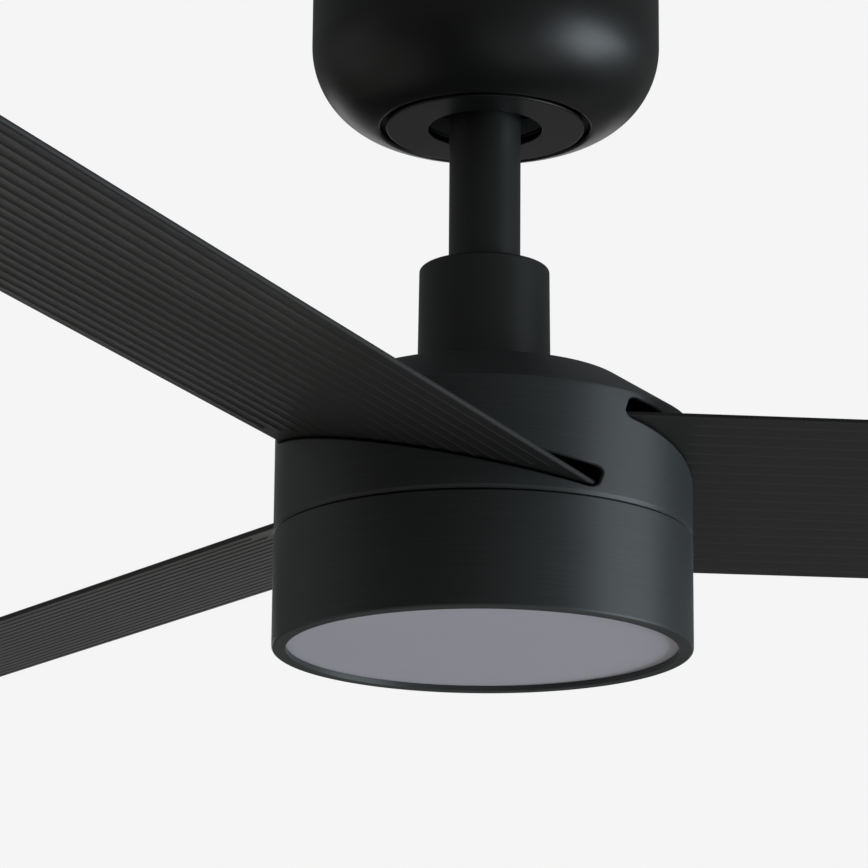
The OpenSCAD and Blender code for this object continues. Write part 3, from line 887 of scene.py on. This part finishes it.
@dataclass
class Hanger:
    """What hangs from the ball: the rod, the coupling and its cover."""

    shop: Workshop
    rod_radius: float = 15.0
    rod_wall: float = 2.0
    collar_top_radius: float = 27.2
    collar_base_radius: float = 27.7
    collar_sheet: float = 1.5
    collar_edge: float = 1.4
    tube_edge: float = 0.4
    rod_gap: float = 0.4

    def build(self) -> None:
        """Makes the rod and the coupling cover, and dresses the rest."""
        self.rod()
        self.collar()
        self.shop.dress(BLACK_CAST, "hanger_ball")
        self.shop.dress(CAST, "motor_coupling")
        self.shop.dress(ZINC, "cross_pin", "clevis_pin", "pin_clip", "motor_shaft")
        self.shop.dress(BLACK_STEEL, "ball_set_screw", "coupling_set_screws")
        self.shop.dress(RUBBER, "cover_grommet")
        self.shop.dress(RED_LEAD, "lead_wires")

    def rod(self) -> None:
        """Makes the down rod: a tube with softened ends."""
        low, high = self.shop.bottom("downrod"), self.shop.top("downrod")
        bore = self.rod_radius - self.rod_wall
        corners = [
            Corner(bore, low, self.tube_edge),
            Corner(self.rod_radius, low, self.tube_edge),
            Corner(self.rod_radius, high, self.tube_edge),
            Corner(bore, high, self.tube_edge),
        ]
        piece = turned(rounded(corners), segments=160).object("down_rod_tube")
        self.shop.join(piece, Body.HANGER, ROD_ENAMEL, Slot.ENAMEL, "downrod")

    def collar(self) -> None:
        """Makes the coupling cover: a slightly conical cup with a rolled top edge."""
        low, high = self.shop.bottom("coupling_cover"), self.shop.top("coupling_cover")
        neck = self.rod_radius + self.rod_gap
        sheet = self.collar_sheet
        corners = [
            Corner(self.collar_base_radius - sheet, low, 0.25),
            Corner(self.collar_base_radius, low, 0.35),
            Corner(self.collar_top_radius, high, self.collar_edge),
            Corner(neck, high, EASE),
            Corner(neck, high - sheet, EASE),
            Corner(self.collar_top_radius - sheet, high - sheet, self.tube_edge),
        ]
        piece = turned(rounded(corners), segments=224).object("coupling_cover_cup")
        self.shop.join(piece, Body.HANGER, ROD_ENAMEL, Slot.ENAMEL, "coupling_cover")


@dataclass
class BladePlace:
    """The place of a blade: origin on the axis, x outwards, pitched about x."""

    pitch_deg: float = 12.8
    height: float = -234.7

    def matrix(self, index: int) -> Matrix:
        """Where blade number index stands, in millimetres."""
        spin = Matrix.Rotation(FULL_TURN * index / BLADE_COUNT, 4, "Z")
        pitch = Matrix.Rotation(-math.radians(self.pitch_deg), 4, "X")
        return spin @ Matrix.Translation((0, 0, self.height)) @ pitch


@dataclass
class TurningHousing:
    """The drum that turns with the blades, with a slot for each, and the motor inside it."""

    shop: Workshop
    place: BladePlace
    radius: float = 86.0
    wall: float = 2.0
    foot_width: float = 0.9
    foot_height: float = 1.7
    rim_radius: float = 1.5
    top_radius: float = 59.0
    rim_height: float = 16.8
    centre_hole: float = 12.0
    slot_half_width: float = 72.7
    slot_low: float = -0.9
    slot_high: float = 8.3
    slot_corner: float = 3.0
    lip: float = 0.75
    back_edge: float = 0.3
    columns: int = 96
    rows: int = 14
    outline_step: float = 1.2
    clear_of_slot: float = 0.9
    top_edge: float = 0.9
    hole_edge: float = 0.4
    inner_top_shift: float = 0.8
    inner_knee_share: float = 0.7

    def build(self) -> None:
        """Makes the slotted drum and dresses the motor."""
        self.drum()
        shop = self.shop
        shop.dress(BLACK_STEEL, "rotor_can", "rotor_cover_screws", "upper_housing_screws")
        shop.dress(BLACK_STEEL, "shaft_circlips")
        shop.dress(CAST, "rotor_top_cover", "rotor_bottom_cover")
        shop.dress(MAGNET, "rotor_magnets")
        shop.dress(LAMINATE, "stator_core")
        shop.dress(COPPER, "stator_windings")
        shop.dress(GROUND_STEEL, "upper_inner_race", "lower_inner_race", "shaft_spacers")
        shop.dress(GROUND_STEEL, "upper_outer_race", "lower_outer_race")
        shop.dress(GROUND_STEEL, "upper_bearing_balls", "lower_bearing_balls")
        shop.dress(NYLON, "upper_bearing_cage", "lower_bearing_cage")

    @property
    def base(self) -> float:
        """The height of the drum's bottom edge."""
        return self.shop.bottom("upper_housing")

    @property
    def top(self) -> float:
        """The height of the drum's flat top."""
        return self.shop.top("upper_housing")

    def slot_outline(self) -> list[Point]:
        """The slot laid out flat: distance around the wall and height, anticlockwise."""
        half, low, high = self.slot_half_width, self.slot_low, self.slot_high
        corners = [
            Corner(-half, low, self.slot_corner),
            Corner(half, low, self.slot_corner),
            Corner(half, high, self.slot_corner),
            Corner(-half, high, self.slot_corner),
        ]
        line = rounded(corners, step_deg=9)
        pitch = math.radians(self.place.pitch_deg)
        points: list[Point] = []
        for (y0, z0), (y1, z1) in zip(line, [*line[1:], line[0]], strict=True):
            steps = max(1, round(math.hypot(y1 - y0, z1 - z0) / self.outline_step))
            for i in range(steps):
                y, z = y0 + (y1 - y0) * i / steps, z0 + (z1 - z0) * i / steps
                across = y * math.cos(pitch) + z * math.sin(pitch)
                up = -y * math.sin(pitch) + z * math.cos(pitch) + self.place.height
                points.append((self.radius * math.asin(across / self.radius), up))
        return points if is_anticlockwise(points) else points[::-1]

    def on_wall(self, point: Point, depth: float) -> Vector:
        """A point of the flat layout on the wall, at a depth below its outer face."""
        angle = point[0] / self.radius
        r = self.radius - depth
        return Vector((r * math.cos(angle), r * math.sin(angle), point[1]))

    def sheet(
        self, draft: Draft, hole: Sequence[Point], low: float, high: float, depth: float
    ) -> None:
        """Adds one face of a third of the wall, around its slot.

        Args:
            draft: The mesh in the making.
            hole: The slot's outline on this face.
            low: The height where the face starts.
            high: The height where it ends.
            depth: Its depth below the outer face.
        """
        half = self.radius * math.pi / BLADE_COUNT
        across = [-half + 2 * half * i / self.columns for i in range(self.columns + 1)]
        rows = [low + (high - low) * i / self.rows for i in range(self.rows + 1)]
        frame = [(s, low) for s in across]
        frame += [(half, z) for z in rows[1:-1]]
        frame += [(s, high) for s in reversed(across)]
        frame += [(-half, z) for z in reversed(rows[1:-1])]
        grid = np.array([(s, z) for s in across[1:-1] for z in rows[1:-1]])
        free = grid[~inside(grid, grown(hole, self.clear_of_slot))]
        flat, faces = fill(frame, [hole], [tuple(p) for p in free])
        out = 1.0 if depth == 0 else -1.0
        normals = [self.on_wall((s, 0), self.radius - out) for s, _ in flat]
        numbers = draft.add([self.on_wall(p, depth) for p in flat], normals)
        draft.faces += [tuple(numbers[i] for i in f) for f in faces]

    def lip_rings(self, draft: Draft, outline: Sequence[Point]) -> None:
        """Adds the rounded edge of the slot, from the outer face to the inner one.

        Args:
            draft: The mesh in the making.
            outline: The slot's outline at its narrowest.
        """
        across = side_normals(outline, closed=True, by_length=False)
        steps = [(self.lip, 0.0, math.radians(a)) for a in range(0, 91, 15)]
        steps += [(self.back_edge, self.wall, math.radians(a)) for a in range(90, 181, 30)]
        rings = []
        for radius, face, a in steps:
            line = grown(outline, radius * (1 - math.sin(a)))
            depth = radius * (1 - math.cos(a)) if face == 0 else face - radius * (1 + math.cos(a))
            points = [self.on_wall(p, depth) for p in line]
            normals = []
            for p, (ns, nz) in zip(line, across, strict=True):
                angle = p[0] / self.radius
                along = Vector((-math.sin(angle), math.cos(angle), 0)) * ns + Vector((0, 0, nz))
                out = Vector((math.cos(angle), math.sin(angle), 0))
                normals.append(out * math.cos(a) - along * math.sin(a))
            rings.append(draft.add(points, normals))
        for one, other in zip(rings, rings[1:], strict=False):
            draft.strip(one, other)

    def drum(self) -> None:
        """Makes the drum: slotted wall, rounded foot, sloping shoulder and flat top."""
        rim = self.top - self.rim_height
        slope = math.atan2(self.rim_height, self.radius - self.rim_radius - self.top_radius)
        knee = rim - self.rim_radius + self.rim_radius * math.tan((math.pi / 2 - slope) / 2)
        back = self.radius - self.wall
        shoulder = [
            Corner(self.radius, self.base),
            Corner(self.radius, knee, self.rim_radius),
            Corner(self.top_radius, self.top, self.top_edge),
            Corner(self.centre_hole, self.top, self.hole_edge),
            Corner(self.centre_hole, self.top - self.wall, self.hole_edge),
            Corner(self.top_radius - self.inner_top_shift, self.top - self.wall, 0.5),
            Corner(back, knee - self.wall * self.inner_knee_share, 0.8),
            Corner(back, self.base),
        ]
        foot = [
            Corner(back, self.top),
            Corner(back, self.base, 0.1),
            Corner(self.radius - self.foot_width, self.base, 0.15),
            Corner(self.radius, self.base + self.foot_height - 0.3, 0.9),
            Corner(self.radius, self.top),
        ]
        over = rounded(shoulder, closed=False, step_deg=8)[1:-1]
        under = rounded(foot, closed=False, step_deg=8)[1:-1]
        third = Draft()
        outline = self.slot_outline()
        self.sheet(third, grown(outline, self.lip), under[-1][1], over[0][1], 0.0)
        self.sheet(third, grown(outline, self.back_edge), under[0][1], over[-1][1], self.wall)
        self.lip_rings(third, outline)
        draft = Draft()
        for i in range(BLADE_COUNT):
            draft.merge(third, Matrix.Rotation(FULL_TURN * i / BLADE_COUNT, 4, "Z"))
        for section in (over, under):
            draft.turn(section, closed=False, segments=self.columns * BLADE_COUNT)
        piece = draft.object("turning_drum")
        self.shop.join(piece, Body.ROTOR, DRUM_ENAMEL, Slot.ENAMEL, "upper_housing")


@dataclass
class BladeSet:
    """The three ribbed blades and what holds them."""

    shop: Workshop
    place: BladePlace
    root: float = 44.5
    tip: float = 660.0
    width: float = 141.0
    thickness: float = 2.2
    tip_corner: float = 24.0
    edge: float = 0.9
    notch_depth: float = 6.0
    notch_half_width: float = 24.0
    rib_count: int = 17
    rib_spacing: float = 8.0
    rib_start: float = 77.0
    rib_height: float = 0.27
    rib_half_width: float = 0.75
    ridge_half_width: float = 0.35
    rib_ramp: float = 1.6
    hollow_depth: float = 0.14
    root_corner: float = 2.0
    notch_corner: float = 1.0
    screw_radius: float = 2.05
    screw_places: tuple[Point, ...] = ((58.0, -18.0), (58.0, 18.0), (70.0, 0.0))

    def build(self) -> None:
        """Makes the blades and dresses their holders and screws."""
        draft = self.blade()
        for i in range(BLADE_COUNT):
            placed = Draft()
            placed.merge(draft, self.place.matrix(i))
            piece = placed.object(f"ribbed_blade_{i + 1}")
            self.shop.join(piece, Body.ROTOR, BLADE_PLASTIC, Slot.BLADE, f"blade_{i + 1}")
            # The rib tops take the lighter plastic, a painted highlight.
            piece.data.materials.append(self.shop.material(RIDGE_HIGHLIGHT_PLASTIC))
            self.shop.dress(BLACK_STEEL, f"blade_holder_{i + 1}")
        self.shop.dress(BLACK_STEEL, "holder_screws", "blade_screws")

    def plan(self) -> list[Point]:
        """The blade seen from above, anticlockwise."""
        half, notch = self.width / 2, self.notch_half_width
        floor = self.root + self.notch_depth
        corners = [
            Corner(self.root, -half, self.root_corner),
            Corner(self.tip, -half, self.tip_corner),
            Corner(self.tip, half, self.tip_corner),
            Corner(self.root, half, self.root_corner),
            Corner(self.root, notch, self.notch_corner),
            Corner(floor, notch, self.notch_corner),
            Corner(floor, -notch, self.notch_corner),
            Corner(self.root, -notch, self.notch_corner),
        ]
        return rounded(corners, step_deg=5)

    def rib_rows(self) -> list[Point]:
        """The places across the blade where the ribs' section has a point, and its height there."""
        half = self.rib_spacing / 2
        ridge = [self.rib_half_width * i / 5 for i in range(1, 6)]
        hollow = [self.rib_half_width + (half - self.rib_half_width) * i / 4 for i in range(1, 4)]
        away = [*ridge, *hollow]
        steps = [-half, *(-a for a in reversed(away)), 0.0, *away]
        rows: list[Point] = []
        for n in range(self.rib_count):
            middle = (n - (self.rib_count - 1) / 2) * self.rib_spacing
            for step in steps:
                share = min(1.0, abs(step) / self.rib_half_width)
                peak = self.rib_height * (0.5 + 0.5 * math.cos(math.pi * share))
                sweep = self.hollow_depth * (1 - abs(step) / half) ** 2
                rows.append((middle + step, peak + sweep))
        rows.append((rows[0][0] + self.rib_count * self.rib_spacing, 0.0))
        return rows

    def ridge_highlight_faces(self, rows: Sequence[Point]) -> list[int]:
        """Which gaps between the rows lie on the top of a rib, where a lighter colour paints a
        highlight.

        Args:
            rows: The section across the ribs.

        Returns:
            The numbers of the gaps.
        """
        found = []
        for i, (one, other) in enumerate(zip(rows, rows[1:], strict=False)):
            place = (one[0] + other[0]) / 2 / self.rib_spacing
            if abs(place - round(place)) * self.rib_spacing < self.ridge_half_width:
                found.append(i)
        return found

    def blade(self) -> Draft:
        """Makes one blade in its own place.

        Returns:
            The draft, with its underside on z = 0.
        """
        draft = Draft()
        plan = self.plan()
        sides = side_normals(plan, closed=True, by_length=False)
        rings = []
        for top in (False, True):
            angles = range(0, 91, 18)
            for a in map(math.radians, reversed(angles) if top else angles):
                line = grown(plan, -self.edge * (1 - math.sin(a)))
                rise = self.edge * (1 - math.cos(a))
                z = self.thickness - rise if top else rise
                up = math.cos(a) if top else -math.cos(a)
                normals = [(x * math.sin(a), y * math.sin(a), up) for x, y in sides]
                rings.append(draft.add([(x, y, z) for x, y in line], normals))
        for one, other in zip(rings, rings[1:], strict=False):
            draft.strip(one, other)
        rows = self.rib_rows()
        field_box = self.rib_field(draft, rows)
        holes = [arc(p, self.screw_radius, 0, 345, 23) for p in self.screw_places]
        rim = grown(plan, -self.edge)
        self.flat(draft, rim, [field_box, *holes], 0.0)
        self.flat(draft, rim, holes, self.thickness)
        for hole in holes:
            low = draft.add([(x, y, 0) for x, y in hole], [(0, 0, -1)] * len(hole))
            high = draft.add([(x, y, self.thickness) for x, y in hole], [(0, 0, 1)] * len(hole))
            draft.strip(low, high)
        return draft

    def flat(
        self, draft: Draft, outer: Sequence[Point], holes: Sequence[Sequence[Point]], z: float
    ) -> None:
        """Adds one of the blade's flat faces.

        Args:
            draft: The mesh in the making.
            outer: Its outline.
            holes: What it leaves open.
            z: Its height.
        """
        flat, faces = fill(outer, holes)
        up = 1.0 if z > 0 else -1.0
        numbers = draft.add([(x, y, z) for x, y in flat], [(0, 0, up)] * len(flat))
        draft.faces += [tuple(numbers[i] for i in f) for f in faces]

    def rib_field(self, draft: Draft, rows: Sequence[Point]) -> list[Point]:
        """Adds the ribbed part of the underside.

        Args:
            draft: The mesh in the making.
            rows: The section across the ribs.

        Returns:
            The outline of the ribbed part, for the flat face around it.
        """
        end = self.tip - self.tip_corner
        ramp = self.rib_ramp
        stations = [(self.rib_start + ramp * i / 4, i / 4) for i in range(5)]
        stations += [(end - ramp * i / 4, i / 4) for i in range(4, -1, -1)]
        grid = []
        for x, share in stations:
            scale = 0.5 - 0.5 * math.cos(math.pi * share)
            section = [(y, -h * scale) for y, h in rows]
            normals = side_normals(section, closed=False, by_length=True)
            grid.append(
                draft.add([(x, y, z) for y, z in section], [(0, ny, nz) for ny, nz in normals])
            )
        for one, other in zip(grid, grid[1:], strict=False):
            first = len(draft.faces)
            draft.strip(one, other, closed=False)
            # The faces on the rib tops take the painted highlight.
            draft.second |= {first + i for i in self.ridge_highlight_faces(rows)}
        near = [(self.rib_start, y) for y, _ in rows]
        far = [(end, y) for y, _ in rows]
        low = [(x, rows[0][0]) for x, _ in stations[1:-1]]
        high = [(x, rows[-1][0]) for x, _ in reversed(stations[1:-1])]
        return [*low, *far, *high, *reversed(near)]


@dataclass
class Light:
    """The fixed drum under the blades, with the diffuser and what lights it."""

    shop: Workshop
    radius: float = 86.0
    wall: float = 2.0
    lip_radius: float = 80.1
    lip_height: float = 2.3
    height: float = 46.5
    rim_radius: float = 82.2
    rim_sheet: float = 1.5
    flange_radius: float = 55.0
    diffuser_thickness: float = 2.5
    diffuser_gap: float = 0.4
    diffuser_edge: float = 0.5
    least_rim_height: float = 0.7
    bottom_edge: float = 1.1
    fine_edge: float = 0.2

    def build(self) -> None:
        """Makes the housing and the diffuser, and dresses the rest."""
        self.housing()
        self.diffuser()
        shop = self.shop
        shop.dress(ZINC, "light_mount_plate", "shaft_nut", "light_housing_screws", "led_board_screws")
        shop.dress(BLACK_STEEL, "diffuser_ring")
        shop.dress(BOARD, "drive_board")
        shop.dress(WHITE_PLASTIC, "led_driver", "led_board")
        shop.dress(PHOSPHOR, "led_chips")
        shop.dress(BRASS, "board_standoffs")

    def housing(self) -> None:
        """Makes the housing: bottom lip, wall, top flange and the rim that closes the seam."""
        low = self.shop.bottom("light_housing")
        seam = low + self.height
        high = max(self.shop.top("light_housing"), seam + self.least_rim_height)
        back = self.radius - self.wall
        corners = [
            Corner(self.lip_radius, low + self.lip_height, self.fine_edge),
            Corner(self.lip_radius, low, EASE),
            Corner(self.radius, low, self.bottom_edge),
            Corner(self.radius, seam, 0.35),
            Corner(self.rim_radius, seam, EASE),
            Corner(self.rim_radius, high, EASE),
            Corner(self.rim_radius - self.rim_sheet, high, EASE),
            Corner(self.rim_radius - self.rim_sheet, seam, EASE),
            Corner(self.flange_radius, seam, EASE),
            Corner(self.flange_radius, seam - self.wall, EASE),
            Corner(back, seam - self.wall, 0.5),
            Corner(back, low + self.lip_height, self.fine_edge),
        ]
        piece = turned(rounded(corners)).object("light_drum")
        self.shop.join(piece, Body.HANGER, DRUM_ENAMEL, Slot.ENAMEL, "light_housing")

    def diffuser(self) -> None:
        """Makes the diffuser: a flat disc with a softened edge."""
        low = self.shop.bottom("diffuser")
        high = low + self.diffuser_thickness
        radius = self.radius - self.wall - self.diffuser_gap
        corners = [
            Corner(0, low),
            Corner(radius, low, self.diffuser_edge),
            Corner(radius, high, self.diffuser_edge),
            Corner(0, high),
        ]
        piece = turned(rounded(corners, closed=False), closed=False).object("diffuser_disc")
        self.shop.join(piece, Body.HANGER, ACRYLIC, Slot.ACRYLIC, "diffuser")


# ---------------------------------------------------------------------------------------------
# The studio
# ---------------------------------------------------------------------------------------------


@dataclass(frozen=True)
class ViewPoint:
    """Where the camera stands and how it looks at the fan."""

    eye_mm: tuple[float, float, float] = (-174.9, -1576.8, -639.8)
    heading_deg: float = 5.59
    tilt_deg: float = 15.151
    roll_deg: float = 0.494
    lens_mm: float = 164.97

    def axes(self) -> tuple[Vector, Vector, Vector]:
        """The view's right, up and forward directions."""
        heading, tilt, roll = map(math.radians, (self.heading_deg, self.tilt_deg, self.roll_deg))
        level = Vector((math.sin(heading), math.cos(heading), 0))
        forward = level * math.cos(tilt) + Vector((0, 0, math.sin(tilt)))
        right = Vector((math.cos(heading), -math.sin(heading), 0))
        up = right.cross(forward)
        turned = right * math.cos(roll) + up * math.sin(roll)
        return turned, up * math.cos(roll) - right * math.sin(roll), forward

    def build(self) -> None:
        """Makes the scene's camera."""
        data = bpy.data.cameras.new("camera")
        data.lens = self.lens_mm
        data.sensor_width = 36.0
        data.clip_start, data.clip_end = 0.05, 100.0
        camera = new_object("camera", data)
        right, up, forward = self.axes()
        turn = Matrix((right, up, -forward)).transposed()
        camera.matrix_world = Matrix.Translation(Vector(self.eye_mm) * MM) @ turn.to_4x4()
        bpy.context.scene.camera = camera


@dataclass(frozen=True)
class SoftLight:
    """A large soft lamp, placed by its direction from the fan."""

    name: str
    bearing_deg: float
    rise_deg: float
    distance: float
    width: float
    height: float
    power: float
    colour: Colour = (1.0, 1.0, 1.0)

    def build(self, aim: Vector, heading_deg: float) -> None:
        """Makes the lamp.

        Args:
            aim: The point that it faces.
            heading_deg: The camera's heading, from which the bearing counts.
        """
        data = bpy.data.lights.new(self.name, "AREA")
        data.shape = "RECTANGLE"
        data.size, data.size_y = self.width, self.height
        data.energy = self.power
        data.color = self.colour
        lamp = new_object(self.name, data)
        bearing = math.radians(self.bearing_deg + 180 + heading_deg)
        rise = math.radians(self.rise_deg)
        level = Vector((math.sin(bearing), math.cos(bearing), 0))
        away = level * math.cos(rise) + Vector((0, 0, math.sin(rise)))
        lamp.location = aim + away * self.distance
        lamp.rotation_mode = "QUATERNION"
        lamp.rotation_quaternion = away.to_track_quat("Z", "Y")
        lamp.visible_camera = False


@dataclass
class Studio:
    """The plain pale surroundings: camera, floor, soft lamps and a dim even fill."""

    view: ViewPoint = field(default_factory=ViewPoint)
    backdrop: Colour = (0.913, 0.913, 0.913)
    fill: tuple[tuple[float, Colour], ...] = (
        (0.0, (0.42, 0.415, 0.405)),
        (0.20, (0.16, 0.158, 0.154)),
        (0.38, (0.065, 0.065, 0.063)),
        (0.48, (0.17, 0.17, 0.165)),
        (0.62, (0.13, 0.135, 0.135)),
        (1.0, (0.16, 0.165, 0.17)),
    )
    floor_height: float = -9.0
    floor_size: float = 60.0
    lamps: tuple[SoftLight, ...] = (
        SoftLight("window", -81, -20, 2.6, 2.0, 1.4, 51, (0.84, 0.93, 1.0)),
        SoftLight("far glow", 176, 1, 3.0, 2.4, 0.5, 7.0),
        SoftLight("left wall", 97, -16, 3.0, 2.4, 2.0, 3.5),
    )

    def build(self, aim: Vector) -> None:
        """Makes the studio.

        Args:
            aim: The middle of the fan.
        """
        self.view.build()
        self.world()
        self.floor()
        for lamp in self.lamps:
            lamp.build(aim, self.view.heading_deg)
        bpy.context.scene.view_settings.view_transform = "Standard"

    def world(self) -> None:
        """Makes the pale backdrop, and the dim fill that lights the fan."""
        world = bpy.data.worlds.new("studio")
        bpy.context.scene.world = world
        tree = Tree(world)
        place = tree.add("ShaderNodeTexCoord", {}).outputs["Generated"]
        rise = tree.add("ShaderNodeSeparateXYZ", {"Vector": place}).outputs["Z"]
        height = tree.add("ShaderNodeMapRange", {"From Min": -1.0, "Value": rise})
        ramp = tree.add("ShaderNodeValToRGB", {"Fac": height.outputs["Result"]})
        stops = ramp.color_ramp.elements
        while len(stops) < len(self.fill):
            stops.new(0.5)
        for stop, (position, colour) in zip(stops, self.fill, strict=True):
            stop.position = position
            stop.color = (*colour, 1)
        soft = tree.add("ShaderNodeBackground", {"Color": ramp.outputs["Color"]})
        pale = tree.add("ShaderNodeBackground", {"Color": (*self.backdrop, 1)})
        seen = tree.add("ShaderNodeLightPath", {}).outputs["Is Camera Ray"]
        inputs = {"Fac": seen, 1: soft.outputs["Background"], 2: pale.outputs["Background"]}
        choose = tree.add("ShaderNodeMixShader", inputs)
        tree.add("ShaderNodeOutputWorld", {"Surface": choose.outputs["Shader"]})

    def floor(self) -> None:
        """Makes the plain pale floor, low enough to leave room for a view from right below."""
        half = self.floor_size / 2
        mesh = bpy.data.meshes.new("floor")
        corners = [(-half, -half), (half, -half), (half, half), (-half, half)]
        mesh.from_pydata([(x, y, self.floor_height) for x, y in corners], [], [(0, 1, 2, 3)])
        floor = new_object("floor", mesh)
        material = bpy.data.materials.new("pale floor")
        tree = Tree(material)
        glow = tree.add("ShaderNodeEmission", {"Color": (*self.backdrop, 1)})
        tree.add("ShaderNodeOutputMaterial", {"Surface": glow.outputs["Emission"]})
        mesh.materials.append(material)
        floor.visible_diffuse = False
        floor.visible_glossy = False


def main() -> None:
    """Builds the fan's looks, sub-assembly by sub-assembly, and the studio around it."""
    logging.basicConfig(level=logging.INFO, format="%(name)s: %(message)s")
    shop = Workshop(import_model())
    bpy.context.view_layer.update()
    place = BladePlace()
    CeilingMount(shop).build()
    Hanger(shop).build()
    TurningHousing(shop, place).build()
    BladeSet(shop, place).build()
    Light(shop).build()
    Studio().build(Vector((0, 0, shop.bottom("light_housing") * MM / 2)))


if __name__ == "__main__":
    main()
